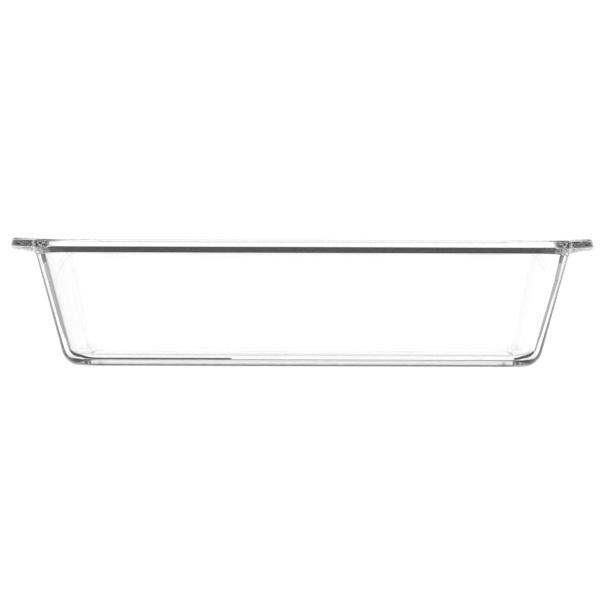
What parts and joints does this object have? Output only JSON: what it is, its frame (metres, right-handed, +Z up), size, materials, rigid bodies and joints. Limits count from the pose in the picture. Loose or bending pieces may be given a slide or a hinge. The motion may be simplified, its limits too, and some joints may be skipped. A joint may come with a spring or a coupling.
{
  "type": "glass cake pan",
  "caption": "Square baking pan in clear pressed glass, with sloping walls, rounded corners, a narrow lip round the rim and a flat tab handle at each end.",
  "frame": {"origin": "on the table, under the middle of the pan", "axes": "+Z up out of the pan's open top, +X towards one handle, the other handle at -X"},
  "size_m": [0.2318, 0.217, 0.0507],
  "materials": {
    "clear_glass": "gloss"
  },
  "bodies": {
    "root": {"glass_pan": "clear_glass"}
  },
  "joints": []
}
